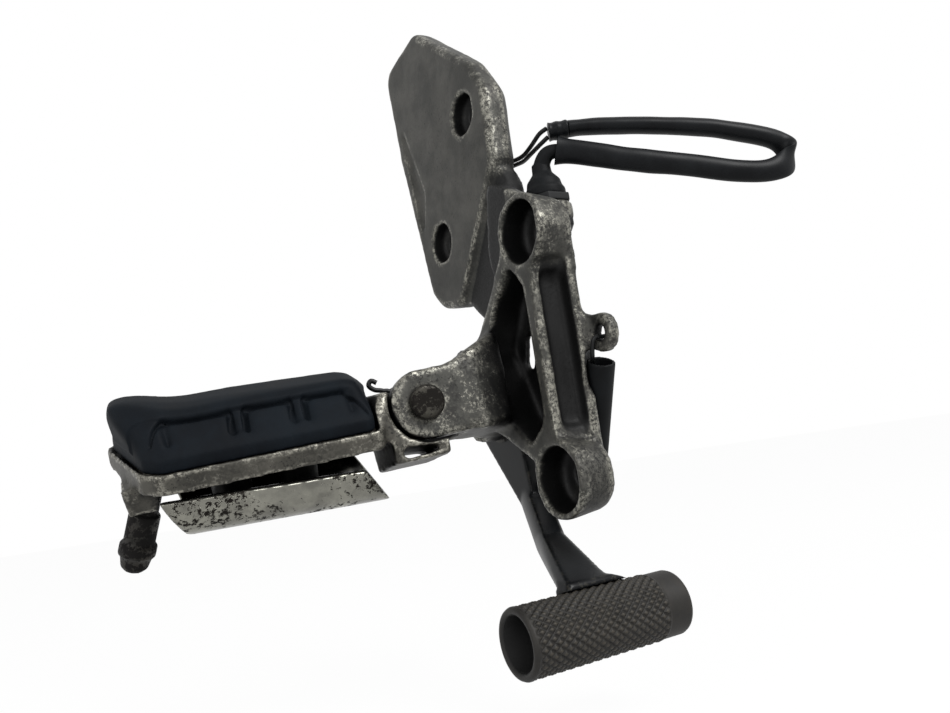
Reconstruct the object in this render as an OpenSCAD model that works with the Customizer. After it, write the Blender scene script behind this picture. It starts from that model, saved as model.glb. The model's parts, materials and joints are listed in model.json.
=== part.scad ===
// Right-hand rider's footrest bracket with folding footpeg and rear brake pedal.
// X points outboard, Y forward and Z up along the two frame bolts.
// The origin is midway between the frame bolts, on the outer face of the bracket.

/* [Frame bolts] */
// Distance between the two frame bolts
boss_pitch = 78.4; // [72:0.2:84]
// Outside radius of the frame bolt bosses
boss_r = 12.75; // [12.2:0.05:13.6]
// Radius of the recess for a bolt head
recess_r = 10; // [9:0.1:10.5]
// Depth of the recess for a bolt head
recess_depth = 10; // [6:0.5:11]
// Radius of the frame bolt holes
frame_bolt_r = 4.25; // [3.2:0.05:5.3]
// Radius of the machined foot round each frame bolt
foot_r = 6.1; // [5.8:0.1:9]

/* [Casting] */
// Depth of the casting at the frame bolts
casting_depth = 14; // [13:0.5:15]
// Depth of the inner ridge of the front member
ridge_depth = 16; // [15.5:0.1:17]
// Thickness of the web that closes the pocket
web_t = 2.2; // [1.5:0.1:4]
// Radius of the boss that carries the pedal
pivot_boss_r = 10; // [8:0.5:11]
// Where the pedal turns, measured forward
pivot_y = -54; // [-56:0.5:-52]
// Height of the pedal pivot
pivot_z = -13; // [-14:0.5:-11]
// Radius of the corners of the casting
corner_r = 3; // [1:0.5:4]

/* [Heel guard] */
// Inboard distance of the heel guard's outer face
guard_x = 9; // [7:0.5:10]
// Thickness of the heel guard
guard_t = 12; // [10:0.5:13]
// Spacing of the two holes for the master cylinder
guard_hole_pitch = 50; // [44:0.5:54]
// Radius of the recesses round those holes
guard_recess_r = 7.5; // [6:0.1:8]
// Depth of the recesses round those holes
guard_recess_depth = 6; // [3:0.5:7]
// Radius of the master cylinder bolt holes
guard_bolt_r = 4.25; // [3:0.05:5]
// Depth of the long triangular panel
panel_depth = 1.4; // [0.6:0.1:2.5]

/* [Hinge] */
// Outside radius of the fork ears
ear_r = 11; // [10.4:0.1:11.6]
// Thickness of each fork ear
ear_t = 7; // [5:0.25:8]
// Gap between the fork ears
fork_gap = 15; // [14:0.5:17]
// Radius of the hinge pin
pin_r = 4; // [3:0.05:4.5]
// Radius of the hinge pin's head
pin_head_r = 5.4; // [5:0.1:6.5]
// Height of the hinge pin's head
pin_head_h = 3; // [2:0.25:4]
// Running clearance round the hinge pin
pin_clear = 0.08; // [0.05:0.01:0.1]
// Side clearance of the peg's tongue in the fork
side_clear = 0.3; // [0.2:0.05:0.6]
// Clearance between the ears and the hollow shoulder of the peg
shoulder_clear = 0.7; // [0.5:0.05:1]
// Wire diameter of the peg's return spring
peg_wire = 1.6; // [1.2:0.1:2]
// Number of turns of the peg's return spring
peg_turns = 2.5; // [1.5:1:2.5]

/* [Peg] */
// Backward sweep of the peg in degrees
peg_sweep = 9; // [7:0.5:11]
// Droop of the peg in degrees
peg_droop = 4.6; // [3:0.2:6]
// Backward tilt of the hinge pin in degrees
hinge_tilt = 3; // [0:0.5:6]
// Forward roll of the peg's tray in degrees
peg_roll = 22; // [18:0.5:24]
// Half width of the tray
tray_half_w = 20; // [18:0.5:21]
// Distance from hinge to the root end of the tray
tray_root = 15; // [14.5:0.5:16]
// Distance from hinge to the front corner of the tray
tray_front_len = 81; // [78:0.5:84]
// Distance from hinge to the rear corner of the tray
tray_rear_len = 92; // [88:0.5:96]
// Height of the tray's rim above the hinge
rim_z = 2.6; // [2:0.1:3.4]
// Depth of the tray from its rim to its flat underside
tray_h = 6.4; // [5.6:0.1:7]
// Depth of the pad's seat below the rim
seat_depth = 2.6; // [2.2:0.1:3]
// Width of the rim round the pad
rim_w = 1.6; // [1:0.1:2.4]
// Thickness of the plate moulded under the pad
pad_plate_t = 2; // [1.5:0.1:2.2]
// Height of the pad's crown above the hinge
pad_crown_z = 15.6; // [14:0.2:17]
// Half width of the pad's flat crown
pad_crown_half_w = 6; // [4:0.5:8]
// Depth of the pad's grooves
groove_depth = 1.4; // [0.6:0.1:2]
// Width of the pad's grooves
groove_w = 1.3; // [0.8:0.1:2]

/* [Weight and feeler] */
// Thickness of the weight plate
weight_t = 3; // [2:0.25:4]
// Half width of the weight plate at its upper edges
weight_half_w = 19; // [17:0.5:20]
// Height of the weight plate from its underside to its upper edges
weight_h = 13.4; // [12:0.2:15]
// Gap between the tray and the upper edges of the weight plate
weight_gap = 1.8; // [1.2:0.1:3]
// Slope of the weight plate in degrees
weight_slope = 3.5; // [0:0.5:4]
// Radius of the feeler's shank
feeler_r = 4.4; // [3.5:0.1:4.8]
// Radius of the feeler's collar
feeler_collar_r = 5.2; // [4.9:0.1:6]
// Length of the feeler below its boss
feeler_len = 19.5; // [14:0.5:24]
// Outward lean of the feeler in degrees
feeler_lean = 20; // [15:0.5:25]

/* [Brake pedal] */
// Radius of the pivot bolt's shoulder
pivot_r = 7; // [6:0.1:7.5]
// Running clearance of the pedal on its pivot
pivot_clear = 0.06; // [0.03:0.01:0.1]
// Wall of the pivot bush
bush_t = 1.5; // [1:0.1:2]
// Radius of the pedal's hub
hub_r = 14; // [12.5:0.25:14.5]
// Width of the pedal's hub
hub_w = 14; // [10:0.5:16]
// Thickness of the pedal's flat arm
arm_t = 6.5; // [5:0.5:7.5]
// Length of the rear lever from pivot to clevis hole
lever_len = 31; // [28:0.5:33]
// Radius of the clevis hole
clevis_r = 4; // [3:0.05:4.5]
// Outside radius of the toe tube
toe_r = 9.75; // [9:0.05:10.5]
// Inside radius of the toe tube
toe_bore_r = 7.5; // [6:0.1:8]
// Length of the toe tube
toe_len = 55; // [50:0.5:60]

/* [Switch] */
// Radius of the switch's threaded body
switch_r = 5.5; // [5:0.1:5.8]
// Length of the switch's threaded body
switch_len = 26; // [20:0.5:30]
// Wire diameter of the pedal's return spring
return_wire = 1.4; // [1:0.1:1.8]
// Coil radius of the pedal's return spring, to the wire's centre
return_coil_r = 2.6; // [2.2:0.1:2.8]

/* [Hidden] */
$fn = 48;
seat_gap = 0.3;
lower_z = -boss_pitch / 2;
upper_z = boss_pitch / 2;
hinge_at = [29.2, -31.1, -11];
fork_half = fork_gap / 2;
ear_face = fork_half + ear_t;
shoulder_r = ear_r + shoulder_clear;
guard_back = -guard_x - guard_t;
guard_hole_low = [-67.4, 58.5];
guard_dir = [0.597, 0.802];
guard_hole_high = guard_hole_low + guard_dir * guard_hole_pitch;
pad_seat_z = rim_z - seat_depth;
pad_base_z = pad_seat_z + pad_plate_t;
tray_bottom_z = rim_z - tray_h;
weight_top_z = tray_bottom_z - weight_gap;
weight_low_z = weight_top_z - weight_h;
tip_x = tray_front_len + 2.5;
tip_low_z = tray_bottom_z - 8.6;
pad_screw_x = [tray_root + 11, tray_front_len - 9];
weight_screw_x = [tray_root + 24, tray_front_len - 22];
hub_face = -casting_depth - 1.3;
arm_face = hub_face;
lever_angle = 137;
clevis_at = [pivot_y + lever_len * cos(lever_angle), pivot_z + lever_len * sin(lever_angle)];
toe_at = [9.9, -79.8];
toe_out = 28;
lug_at = [11.3, 3.1];
lug_t = 4;
lug_hole_r = 2.4;
clip_out = 3.8;
block_end = shoulder_r + 1.8;
block_top = 6;
hook_at = [-15, -44];
hook_hole_r = 2.2;
hook_t = 3;
switch_at = [-20.8, -9.7];
nut_t = 2.8;
switch_lug_z = 46;
switch_lug_t = 6;
return_turns = 10.5;
switch_spring_r = 3;
switch_wire = 0.9;

// Points of a polygon whose corners are rounded to radius r
function unit(v) = v / norm(v);
function corner(a, p, b, r, n) =
    let (u = unit(a - p), v = unit(b - p), h = acos(u * v) / 2)
    let (w = unit(u + v), c = p + w * r / sin(h), s = sign(u[0] * v[1] - u[1] * v[0]))
    let (f = p + u * r / tan(h) - c, sweep = 180 - 2 * h)
    [for (i = [0 : n]) let (t = -s * sweep * i / n)
        c + [f[0] * cos(t) - f[1] * sin(t), f[0] * sin(t) + f[1] * cos(t)]];
function rounded(p, r, n = 4) =
    [for (i = [0 : len(p) - 1])
        each corner(p[(i + len(p) - 1) % len(p)], p[i], p[(i + 1) % len(p)], r, n)];

// A closed tube swept along a path, its rings kept level by a fixed side direction
function cross_unit(a, b) = unit(cross(a, b));
function heading(path, i) =
    unit(path[min(i + 1, len(path) - 1)] - path[max(i - 1, 0)]);
function blend(r, f) = is_list(r) ? r[0] + (r[1] - r[0]) * f : r;
function ring(path, i, ra, rb, side, n) =
    let (t = heading(path, i), u = cross_unit(t, side), v = cross(t, u))
    let (f = i / (len(path) - 1), a = blend(ra, f), b = blend(rb, f))
    [for (k = [0 : n - 1]) path[i] + u * a * cos(360 * k / n) + v * b * sin(360 * k / n)];
function grid_faces(m, n) = concat([[for (k = [0 : n - 1]) k]],
    [for (i = [0 : m - 2]) for (k = [0 : n - 1])
        [i * n + k, (i + 1) * n + k, (i + 1) * n + (k + 1) % n, i * n + (k + 1) % n]],
    [[for (k = [n - 1 : -1 : 0]) (m - 1) * n + k]]);
function smooth(path, steps) = [for (i = [0 : len(path) - 2]) for (j = [0 : steps - 1])
    let (a = path[max(i - 1, 0)], b = path[i], c = path[i + 1])
    let (d = path[min(i + 2, len(path) - 1)], t = j / steps)
    b + (c - a) * t / 2 + (a * 2 - b * 5 + c * 4 - d) * t * t / 2
        + (b * 3 - a - c * 3 + d) * t * t * t / 2];
module swept(path, ra, rb, side = [0, 0, 1], n = 8) {
    points = [for (i = [0 : len(path) - 1]) each ring(path, i, ra, rb, side, n)];
    polyhedron(points, grid_faces(len(path), n), convexity = 6);
}

// A profile drawn in Y and Z, standing from x0 to x1
module slab(x0, x1, points, r = corner_r) {
    rotate([90, 0, 90])
        translate([0, 0, x0])
            linear_extrude(x1 - x0)
                polygon(rounded(points, r));
}
// A round bar along X
module bar_x(x0, x1, at, r) {
    translate([x0, at[0], at[1]])
        rotate([0, 90, 0])
            cylinder(h = x1 - x0, r = r);
}
// A round bar along the hinge, in the peg's own frame
module bar_y(y0, y1, r) {
    translate([0, y0, 0])
        rotate([-90, 0, 0])
            cylinder(h = y1 - y0, r = r);
}
// The hinge's frame: X along the peg, Y along the hinge pin
module in_hinge() {
    translate(hinge_at)
        rotate([hinge_tilt, peg_droop, -peg_sweep])
            children();
}
// The tray's frame: the same origin and X, rolled forward
module in_tray() {
    translate(hinge_at)
        rotate([-peg_roll, peg_droop, -peg_sweep])
            children();
}
// A frame whose Z runs from one point to another
module along(a, b) {
    d = b - a;
    translate(a)
        rotate([0, acos(d[2] / norm(d)), atan2(d[1], d[0])])
            children();
}

// Bracket casting

frame_outline = [[4.2, upper_z - 4], [3.2, lower_z + 4], [-11, lower_z + 6], [-36, -18.5],
    [-48, -22], [-60, -14], [-60, -4], [-48, 5], [-33, 14], [-22, 25.5], [-12, upper_z - 2]];
pocket_outline = [[-9.5, 30.5], [-2.8, 22.5], [-3, -21], [-11.5, -27], [-20, -18.5],
    [-29, 6], [-20, 20.5]];
neck_outline = [[-25, 76], [-18, 64], [-17, 50], [-17, 30], [-26, 20], [-36, 13], [-44, 18],
    [-56, 29], [-64, 38], [-50, 52]];
collar_outline = [[-24, 66], [-8, 56.5], [3, 49], [-2, 32], [-20, 24], [-26, 22], [-30, 40]];
guard_outline = [[-66.5, 150], [-98, 147.5], [-94.5, 104], [-82, 40], [-75, 33], [-58, 29.5],
    [-46.6, 50.3], [-30.5, 63.6], [-21.5, 73], [-20.5, 102], [-29, 116]];
ridge_outline = [[7.4, upper_z - 2], [6.2, 0], [5.4, lower_z + 4], [-3, lower_z + 2],
    [-3, upper_z - 2]];
function clamp(v, low, high) = max(low, min(v, high));
function shrunk(points, by) = [for (p = points) p + unit([-58, 88] - p) * by];

module fork_block(inset, x) {
    in_hinge()
        translate([x, -ear_face + inset, -ear_r - 1 + inset])
            cube([3, 2 * (ear_face - inset), 2 * ear_r + 5 - 2 * inset]);
}
// The arm swells from the frame to the fork that takes the peg
module fork_arm() {
    hull() {
        slab(-casting_depth, -7, [[-24, 16], [-20, -14], [-34, -20], [-50, -20], [-54, -12],
            [-54, 0], [-42, 10], [-32, 16]]);
        fork_block(0.7, -19);
    }
    hull() {
        fork_block(1.1, -20);
        in_hinge()
            translate([-8, 0, 0])
                rotate([90, 0, 0])
                    cylinder(h = 2 * ear_face - 0.4, r = ear_r - 0.5, center = true);
    }
    in_hinge()
        rotate([90, 0, 0])
            linear_extrude(2 * ear_face, center = true)
                union() {
                    circle(r = ear_r);
                    translate([-13, -ear_r])
                        square([13, 2 * ear_r]);
                }
}
// Rounded plate that keeps the rider's heel off the machine
module heel_guard() {
    hull() {
        slab(-guard_x - 0.1, -guard_x, shrunk(guard_outline, 1.6), 6);
        slab(guard_back + 4, -guard_x - 1.6, guard_outline, 7);
        slab(guard_back, guard_back + 0.1, shrunk(guard_outline, 3.4), 6);
    }
}
// Frame bolt boss with the draft of a casting
module frame_boss(z) {
    translate([-casting_depth, 0, z])
        rotate([0, 90, 0])
            cylinder(h = casting_depth, r1 = boss_r - 1.8, r2 = boss_r);
    // Machined foot that bears on the frame
    bar_x(-ridge_depth - 1, -casting_depth + 1, [0, z], foot_r);
}
module casting_solid() {
    slab(-casting_depth, 0, frame_outline);
    slab(-ridge_depth, -casting_depth + 2, ridge_outline, 2);
    slab(guard_back + 2, -11.5, neck_outline);
    slab(-casting_depth, -6, collar_outline);
    frame_boss(upper_z);
    frame_boss(lower_z);
    bar_x(-casting_depth - 1, -6, [pivot_y, pivot_z], pivot_boss_r);
    heel_guard();
    fork_arm();
    // Lug that carries the switch
    translate([switch_at[0], switch_at[1], switch_lug_z])
        cylinder(h = switch_lug_t, r = switch_r + 3);
    translate([switch_at[0], switch_at[1] - 7, switch_lug_z])
        cube([-switch_at[0] - 8, 14, switch_lug_t]);
    // Lug that carries the pedal's return spring
    slab(-ridge_depth - lug_t, -ridge_depth + 3, [[-2.5, 13], [7, 10.2], [7, -4.4], [-2.5, -8]], 1.5);
    slab(-ridge_depth - lug_t, -ridge_depth, [[2, 10.6], [lug_at[0], lug_at[1] + 6.2],
        [lug_at[0], lug_at[1] - 6.2], [2, -5]], 0.4);
    bar_x(-ridge_depth - lug_t, -ridge_depth, lug_at, 6.4);
}
module bracket_casting() {
    color([0.36, 0.35, 0.32])
    difference() {
        casting_solid();
        // Bolt head recesses and bolt holes of the frame mount
        for (z = [lower_z, upper_z]) {
            bar_x(-recess_depth, 2, [0, z], recess_r);
            bar_x(-ridge_depth - 6, 1, [0, z], frame_bolt_r);
        }
        // Triangular pocket with a narrow slit through its web
        slab(-casting_depth + web_t, 1, pocket_outline, 2.2);
        slab(-casting_depth - 1, 0, [[-17.6, 8.6], [-21, -1.8], [-25, -1], [-21.8, 9.6]], 1.6);
        // Dark channel along the front of the member
        slab(-12, -3.6, [[0.8, lower_z + 15], [14, lower_z + 15], [14, upper_z - 13.5],
            [0.8, upper_z - 13.5]], 3);
        // Master cylinder holes and the long panel of the heel guard
        for (p = [guard_hole_low, guard_hole_high]) {
            bar_x(-guard_x - guard_recess_depth, -guard_x + 1, p, guard_recess_r);
            bar_x(guard_back - 1, -guard_x + 1, p, guard_bolt_r);
        }
        slab(-guard_x - panel_depth, -guard_x + 1, [[-91.5, 126], [-76, 83], [-82, 64]], 1.2);
        // Threaded hole of the pedal pivot
        bar_x(-casting_depth - 3, -6.6, [pivot_y, pivot_z], pivot_r - 2);
        // Room for the switch nuts and for the return spring
        for (z = [[switch_lug_z - 16, 16], [switch_lug_z + switch_lug_t, 24]])
            translate([switch_at[0], switch_at[1], z[0]])
                cylinder(h = z[1], r = switch_r + 3.2);
        along(lug_mid, hook_mid)
            translate([0, 0, coil_start - 7])
                cylinder(h = coil_end - coil_start + 14, r = sleeve_r + 0.5);
        // Hole of the switch and of the spring lug
        translate([switch_at[0], switch_at[1], switch_lug_z - 1])
            cylinder(h = switch_lug_t + 2, r = switch_r + 0.1);
        bar_x(-ridge_depth - lug_t - 1, -ridge_depth + 0.5, lug_at, lug_hole_r);
        // Slot and bore of the fork
        in_hinge() {
            translate([-shoulder_r - 0.6, -fork_half, -30])
                cube([60, fork_gap, 60]);
            bar_y(-ear_face - 12, ear_face + 12, pin_r + pin_clear);
        }
    }
}

// Hinge

module hinge_pin() {
    color([0.12, 0.11, 0.10])
    in_hinge() {
        bar_y(ear_face, ear_face + pin_head_h - 0.8, pin_head_r);
        translate([0, ear_face + pin_head_h - 0.8, 0])
            rotate([-90, 0, 0])
                cylinder(h = 0.8, r1 = pin_head_r, r2 = pin_head_r - 0.8);
        difference() {
            bar_y(-ear_face - 5.4, ear_face, pin_r);
            translate([0, -ear_face - clip_out, 0])
                cylinder(h = 12, r = 1.1, center = true);
        }
    }
}
module pin_washer() {
    color([0.45, 0.44, 0.42])
    in_hinge()
        difference() {
            bar_y(-ear_face - 1.3, -ear_face, pin_r + 3);
            bar_y(-ear_face - 2, -ear_face + 1, pin_r + 0.15);
        }
}
// Split pin through the end of the hinge pin
module pin_clip() {
    color([0.5, 0.49, 0.46])
    in_hinge()
        translate([0, -ear_face - clip_out, 0]) {
            cylinder(h = 13, r = 0.9, center = true);
            translate([0, 0, 7.4])
                rotate([0, 90, 0])
                    rotate_extrude()
                        translate([1.8, 0])
                            circle(r = 0.8, $fn = 16);
        }
}
// Torsion spring round the hinge pin, one leg on the arm and one with a loop on the peg
spring_r = pin_r + 2.2;
spring_y0 = -fork_half + peg_wire / 2 + 0.4;
spring_pitch = peg_wire + 0.25;
function coil(a0, turns, r, y0, pitch, n) = [for (i = [0 : turns * n])
    let (a = a0 + 360 * i / n) [r * cos(a), y0 + pitch * i / n, r * sin(a)]];
module peg_spring() {
    turns = coil(110, peg_turns, spring_r, spring_y0, spring_pitch, 12);
    end_y = spring_y0 + peg_turns * spring_pitch;
    start = [[-shoulder_r + 0.6, spring_y0, 9.2], [-7, spring_y0, 8.2]];
    finish = [[5.4, end_y, 6.6], [8.5, end_y, 8.6], [11, end_y, 9.4], [12.6, end_y + 0.2, 11],
        [11.6, end_y + 0.4, 12.4], [10, end_y + 0.6, 11.4]];
    color([0.10, 0.10, 0.10])
    in_hinge()
        swept(concat(start, [for (i = [0 : len(turns) - 1]) turns[i]]), peg_wire / 2,
            peg_wire / 2, [0, 1, 0.01]);
}

// Peg

tray_outline = [[tray_root, -tray_half_w], [tray_root, tray_half_w],
    [tray_front_len - 3, tray_half_w], [tray_front_len + 2, tray_half_w - 5],
    [tray_rear_len, -tray_half_w + 4], [tray_rear_len - 4, -tray_half_w]];
pad_outline = [[tray_root - 2, -tray_half_w + rim_w], [tray_root - 2, tray_half_w - rim_w],
    [tray_front_len - 4, tray_half_w - rim_w], [tray_front_len + 0.5, tray_half_w - 6],
    [tray_rear_len - rim_w, -tray_half_w + 5], [tray_rear_len - 6, -tray_half_w + rim_w]];
panel_ends = [[23, 35.5], [40, 52.6], [57, 74]];
spring_room = fork_half - spring_pitch * (peg_turns + 0.5) - peg_wire - 0.6;
module screw_holes(xs, r, z0, h) {
    for (x = xs)
        translate([x, 0, z0])
            cylinder(h = h, r = r);
}
module peg_bar() {
    lip_z = -ear_r - 5.6;
    color([0.45, 0.44, 0.41])
    difference() {
        union() {
            in_tray() {
                translate([0, 0, tray_bottom_z])
                    linear_extrude(tray_h)
                        polygon(rounded(tray_outline, 3.5));
                // Tip boss for the feeler
                hull() {
                    translate([tip_x - 6, -9, tray_bottom_z])
                        cube([11, 18, 0.5]);
                    translate([tip_x - 4, -6.5, tip_low_z])
                        cube([8, 13, 1]);
                }
                // Bosses that carry the weight plate
                screw_holes(weight_screw_x, 6, weight_low_z + weight_t + 0.6, weight_h + 1);
            }
            // Neck between the hinge and the tray
            hull() {
                in_hinge()
                    translate([block_end - 2.4, -ear_face + 0.3, block_top - 14])
                        cube([2.4, 2 * ear_face - 0.6, 13.7]);
                in_tray()
                    translate([tray_root + 2, -tray_half_w + 3, tray_bottom_z])
                        cube([3, 2 * tray_half_w - 6, tray_h - 0.2]);
            }
            in_hinge() {
                // Block that wraps the ears, and the stop lip under them
                translate([3, -ear_face, lip_z + 4])
                    cube([block_end - 3.4, 2 * ear_face, block_top - lip_z - 4]);
                translate([-5, -ear_face + 0.5, lip_z])
                    cube([18, 2 * ear_face - 1, 5]);
                // Tongue
                bar_y(-fork_half + side_clear, fork_half - side_clear, pin_r + 4.5);
                translate([0, -fork_half + side_clear, -pin_r - 4.5])
                    cube([tray_root, fork_gap - 2 * side_clear, 2 * pin_r + 7]);
            }
        }
        in_tray() {
            // Seat of the pad
            translate([0, 0, pad_seat_z])
                linear_extrude(30)
                    polygon(rounded([for (p = pad_outline) [max(p[0], tray_root + 1.5), p[1]]], 2.5));
            // Screw holes of the pad and of the weight plate, and the feeler's thread
            screw_holes(pad_screw_x, 2.1, -30, 40);
            screw_holes(weight_screw_x, 2.6, -40, 40 + tray_bottom_z - 1);
            translate([tip_x - 0.5, 0, tip_low_z])
                rotate([0, 180 - feeler_lean, 0])
                    translate([0, 0, -8])
                        cylinder(h = 30, r = feeler_r - 0.7);
        }
        in_hinge() {
            // Hollow shoulders round the two ears
            for (s = [-1, 1])
                translate([0, s * (fork_half + 15 - side_clear), 0])
                    rotate([90, 0, 0])
                        cylinder(h = 30, r = shoulder_r, center = true);
            // Slot through the stop lip
            hull() {
                translate([-2, 0, -ear_r - 2.9])
                    rotate([90, 0, 0])
                        cylinder(h = 60, r = 0.8, center = true, $fn = 24);
                translate([8.5, 0, -ear_r - 2.7])
                    rotate([90, 0, 0])
                        cylinder(h = 60, r = 1.6, center = true, $fn = 24);
            }
            // Bore, and the pocket that takes the torsion spring
            bar_y(-40, 40, pin_r + pin_clear);
            translate([-20, -fork_half - 1, -spring_r - peg_wire])
                cube([30.5, fork_half + 1 - spring_room, 2 * spring_r + 2 * peg_wire + 8]);
        }
    }
}
module pad_plate() {
    color([0.3, 0.3, 0.3])
    in_tray()
        difference() {
            translate([0, 0, pad_seat_z])
                linear_extrude(pad_plate_t)
                    polygon(rounded([for (p = pad_outline) [clamp(p[0], tray_root + 2, tray_rear_len - 4), p[1] * 0.95]], 2.6));
            screw_holes(pad_screw_x, 2.1, -30, 40);
        }
}
// Rubber pad with a crowned top, sloping flanks and three grooved panels a side
module rubber_pad() {
    nose = tray_rear_len - 4.5;
    flank = 41;
    edge_y = pad_crown_half_w + 2.6;
    color([0.07, 0.075, 0.08])
    in_tray()
    difference() {
        hull() {
            translate([0, 0, pad_base_z])
                linear_extrude(4)
                    polygon(rounded([for (p = pad_outline)
                        [clamp(p[0], tray_root + 2.2, tray_rear_len - rim_w - 0.6), p[1] * 0.96]], 2.8));
            translate([0, 0, pad_base_z + 7])
                linear_extrude(0.1)
                    polygon(rounded([[tray_root - 2, -14], [tray_root - 2, -4], [tray_root + 1.9, 8],
                        [tray_root + 1.9, 14],
                        [tray_front_len - 3, 14.5], [nose + 3.6, -14.5]], 4));
            translate([tray_root + 5, -pad_crown_half_w, pad_crown_z - 0.4])
                cube([tray_front_len - tray_root - 12, 2 * pad_crown_half_w, 0.4]);
            translate([nose - 6, -11, pad_crown_z])
                cube([5.5, 10, 0.9]);
        }
        // Room for the block that wraps the ears
        in_hinge()
            translate([-30, -ear_face - 0.5, -30])
                cube([30 + block_end + 0.5, 2 * ear_face + 1, 30 + block_top + 0.5]);
        translate([-5, -tray_half_w, 0])
            cube([5 + tray_root + 1.9, 2 * tray_half_w, pad_base_z + 8.2]);
        // Long grooves beside the crown, and the grooves at the ends of each panel
        for (s = [-1, 1])
            for (x = panel_ends) {
                translate([(x[0] + x[1]) / 2, s * edge_y, pad_crown_z - 2.2])
                    rotate([-s * flank, 0, 0])
                        cube([x[1] - x[0], groove_w, 2 * groove_depth], center = true);
                for (e = x)
                    translate([e, s * (edge_y + 3.2), pad_crown_z - 4.9])
                        rotate([-s * flank, 0, 0])
                            cube([groove_w, 8.4, 2 * groove_depth], center = true);
            }
    }
}
module pad_screws() {
    color([0.4, 0.4, 0.38])
    in_tray() {
        screw_holes(pad_screw_x, 3.8, tray_bottom_z - 2.6, 2.6);
        screw_holes(pad_screw_x, 2, tray_bottom_z, pad_base_z - tray_bottom_z);
    }
}
// Curved trough of polished steel
function trough(hw, top, bottom, r, n) = concat(
    [[-hw, top]],
    [for (i = [0 : n]) let (a = 180 + 90 * i / n) [-hw + r + r * cos(a), bottom + r + r * sin(a)]],
    [for (i = [0 : n]) let (a = 270 + 90 * i / n) [hw - r + r * cos(a), bottom + r + r * sin(a)]],
    [[hw, top]]);
module in_weight() {
    in_tray()
        translate([tray_front_len, 0, weight_top_z])
            rotate([0, -weight_slope, 0])
                children();
}
module weight_plate() {
    outer = trough(weight_half_w, 0, -weight_h, 10.5, 8);
    inner = trough(weight_half_w - weight_t, 1, -weight_h + weight_t, 8, 8);
    root = -tray_front_len + 7;
    color([0.62, 0.62, 0.6])
    difference() {
        in_weight()
            difference() {
                rotate([90, 0, 90])
                    translate([0, 0, root])
                        linear_extrude(-root)
                            polygon(outer);
                rotate([90, 0, 90])
                    translate([0, 0, root - 1])
                        linear_extrude(2 - root)
                            polygon(inner);
                // Slanted ends
                translate([-2, -30, 0])
                    rotate([0, 28, 0])
                        translate([0, 0, -25])
                            cube([20, 60, 35]);
                translate([root + 15, -30, 0])
                    rotate([0, 34, 0])
                        translate([-30, 0, -30])
                            cube([30, 60, 40]);
            }
        in_tray()
            screw_holes(weight_screw_x, 2.6, -60, 60 + tray_bottom_z);
    }
}
module weight_screws() {
    color([0.42, 0.41, 0.39])
    in_tray()
        for (x = weight_screw_x)
            translate([x, 0, weight_low_z - (tray_front_len - x) * tan(weight_slope) - 0.35]) {
                translate([0, 0, -2.4])
                    cylinder(h = 2.4, r1 = 3.4, r2 = 4.6);
                cylinder(h = weight_h - 2, r = 2.5);
            }
}
// Dark feeler pin that touches the road first
module feeler_bolt() {
    color([0.13, 0.12, 0.10])
    in_tray()
        translate([tip_x - 0.5, 0, tip_low_z])
            rotate([0, 180 - feeler_lean, 0])
                rotate_extrude()
                    polygon([[0, -6], [feeler_r - 0.8, -6], [feeler_r - 0.8, 1.9], [feeler_r, 1.9],
                        [feeler_r, feeler_len - 9], [feeler_collar_r, feeler_len - 8.2],
                        [feeler_collar_r, feeler_len - 5.2], [feeler_r, feeler_len - 4.4],
                        [feeler_r - 0.6, feeler_len - 1.4], [feeler_r - 2, feeler_len],
                        [0, feeler_len]]);
}

// Brake pedal

module brake_pedal() {
    mid_x = arm_face - arm_t;
    knee = [-43.3, -46.5];
    bend = [-24, -60];
    color([0.06, 0.06, 0.06])
    difference() {
        union() {
            bar_x(hub_face - hub_w, hub_face, [pivot_y, pivot_z], hub_r);
            // Flat arm from the hub to the knee
            hull() {
                bar_x(mid_x, arm_face, [pivot_y - 2, pivot_z - 3], hub_r - 1);
                bar_x(mid_x, arm_face, knee, 4.4);
            }
            hull() {
                bar_x(mid_x, arm_face, knee, 4.4);
                bar_x(-13.5, -6.5, bend, 4.2);
            }
            // The bend runs into a blade and a foot that flares along the toe tube
            hull() {
                bar_x(-13.5, -6.5, bend, 4.2);
                translate([-6, toe_at[0] - 7, toe_at[1] + toe_r])
                    cube([14, 6, 2]);
            }
            hull() {
                translate([-8, toe_at[0] - 7, toe_at[1] + toe_r + 1])
                    cube([15, 6, 1]);
                translate([-13, toe_at[0] - 7, toe_at[1] + toe_r - 3])
                    cube([22, 7, 3]);
            }
            // Lever to the master cylinder's push rod
            hull() {
                bar_x(mid_x, arm_face, [pivot_y, pivot_z], 9);
                bar_x(mid_x, arm_face, clevis_at, clevis_r + 4);
            }
            // Tab for the return spring
            hull() {
                bar_x(mid_x - hook_t, mid_x + 0.5, [-42, -42], 4);
                bar_x(mid_x - hook_t, mid_x, hook_at, hook_hole_r + 2.4);
            }
        }
        bar_x(hub_face - hub_w - 1, hub_face + 1, [pivot_y, pivot_z], pivot_r + bush_t);
        bar_x(mid_x - 1, arm_face + 1, clevis_at, clevis_r);
        bar_x(mid_x - hook_t - 1, arm_face + 1, hook_at, hook_hole_r);
        bar_x(-40, 40, toe_at, toe_r);
    }
}
module toe_tube() {
    color([0.05, 0.05, 0.05])
    translate([toe_out - toe_len, toe_at[0], toe_at[1]])
        rotate([0, 90, 0])
            rotate_extrude()
                polygon([[toe_bore_r, 0], [toe_r - 1, 0], [toe_r, 1], [toe_r, toe_len - 1],
                    [toe_r - 1, toe_len], [toe_bore_r + 0.4, toe_len], [toe_bore_r, toe_len - 0.6]]);
}
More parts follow.
